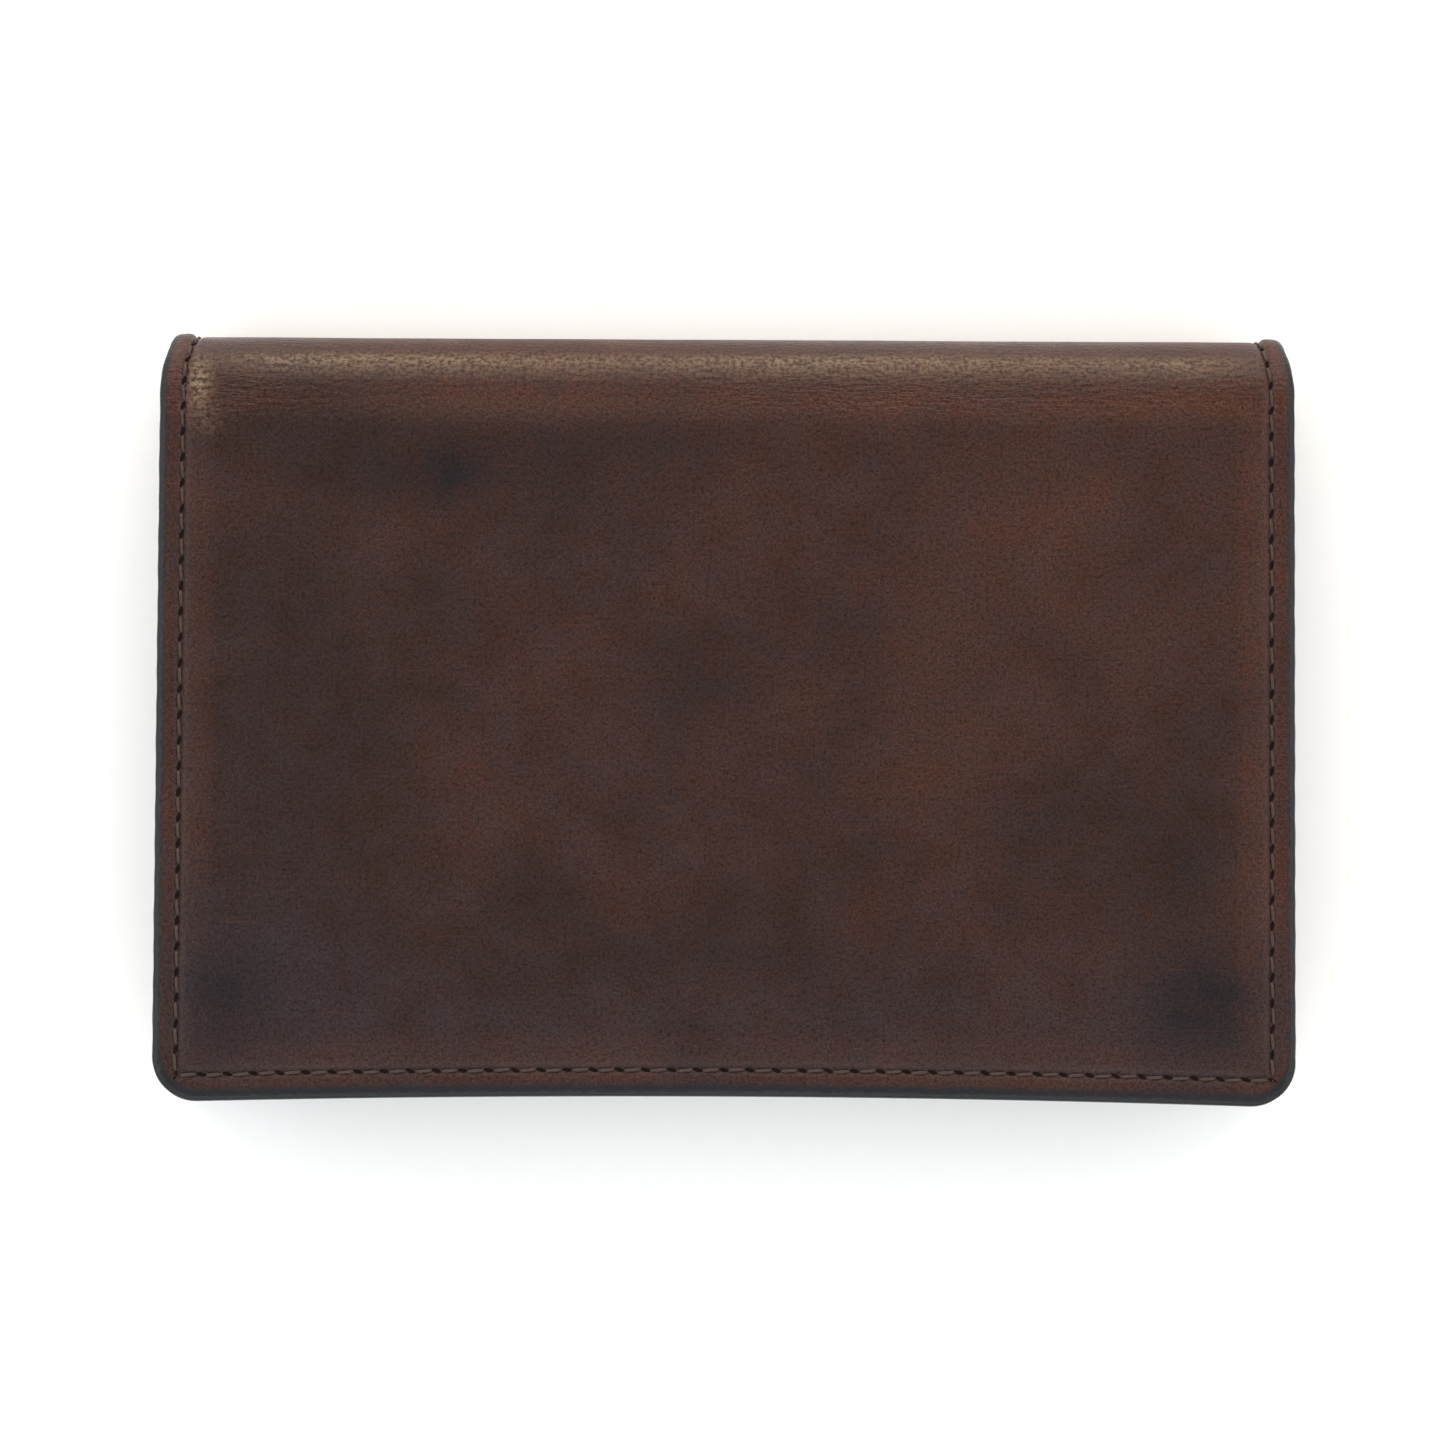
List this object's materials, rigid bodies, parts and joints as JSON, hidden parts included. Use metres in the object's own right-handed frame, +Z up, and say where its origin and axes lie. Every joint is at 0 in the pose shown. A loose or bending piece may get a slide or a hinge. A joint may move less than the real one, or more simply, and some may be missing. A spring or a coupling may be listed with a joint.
{
  "type": "business card case",
  "caption": "Flat leather card case: two stiffened leaves round a folded spine, with a gusseted card pocket and two slip pockets inside.",
  "frame": {"origin": "under the middle of the closed case, on the face it rests on", "axes": "+X along the fold, +Y towards the fold, +Z up through the closed case"},
  "size_m": [0.11, 0.0741, 0.0132],
  "materials": {
    "cover_leather": "smooth waxed calf, satin",
    "board": "matt",
    "lining_leather": "fine grain, matt",
    "gusset_leather": "smooth calf, satin",
    "pocket_leather": "smooth calf, satin",
    "pocket_lining": "thin skiver, matt",
    "thread": "waxed linen thread"
  },
  "bodies": {
    "back": {"cover_back": "cover_leather", "board_back": "board", "lining_back": "lining_leather", "back_stitching": "thread", "gusset": "gusset_leather"},
    "spine_lower": {"cover_spine_lower": "cover_leather", "lining_spine_lower": "lining_leather", "spine_lower_stitching": "thread"},
    "spine_upper": {"cover_spine_upper": "cover_leather", "lining_spine_upper": "lining_leather", "spine_upper_stitching": "thread"},
    "flap": {"cover_flap": "cover_leather", "board_flap": "board", "lining_flap": "lining_leather", "flap_pocket": "pocket_leather", "flap_stitching": "thread"},
    "pocket": {"pocket_lining": "pocket_lining", "pocket_front": "pocket_leather", "slip_pocket": "pocket_leather", "pocket_stitching": "thread", "pocket_mouth_stitching": "thread"}
  },
  "joints": [
    {"name": "fold_lower", "type": "hinge", "parent": "back", "child": "spine_lower", "pos_m": [0, 0.03409, 0.00107], "axis": [-1, 0, 0], "range_deg": [0, 60]},
    {"name": "fold_middle", "type": "hinge", "parent": "spine_lower", "child": "spine_upper", "pos_m": [0, 0.03729, 0.0066], "axis": [-1, 0, 0], "range_deg": [0, 60]},
    {"name": "fold_upper", "type": "hinge", "parent": "spine_upper", "child": "flap", "pos_m": [0, 0.03409, 0.01213], "axis": [-1, 0, 0], "range_deg": [0, 60]},
    {"name": "pocket_open", "type": "hinge", "parent": "back", "child": "pocket", "pos_m": [0, -0.0362, 0.0075], "axis": [1, 0, 0], "range_deg": [0, 3], "deforming": ["gusset"]}
  ],
  "couplings": [
    {"joint": "fold_middle", "follows": "fold_lower", "ratio": 1},
    {"joint": "fold_upper", "follows": "fold_lower", "ratio": 1},
    {"joint": "pocket_open", "follows": "fold_lower", "ratio": 0.05}
  ]
}
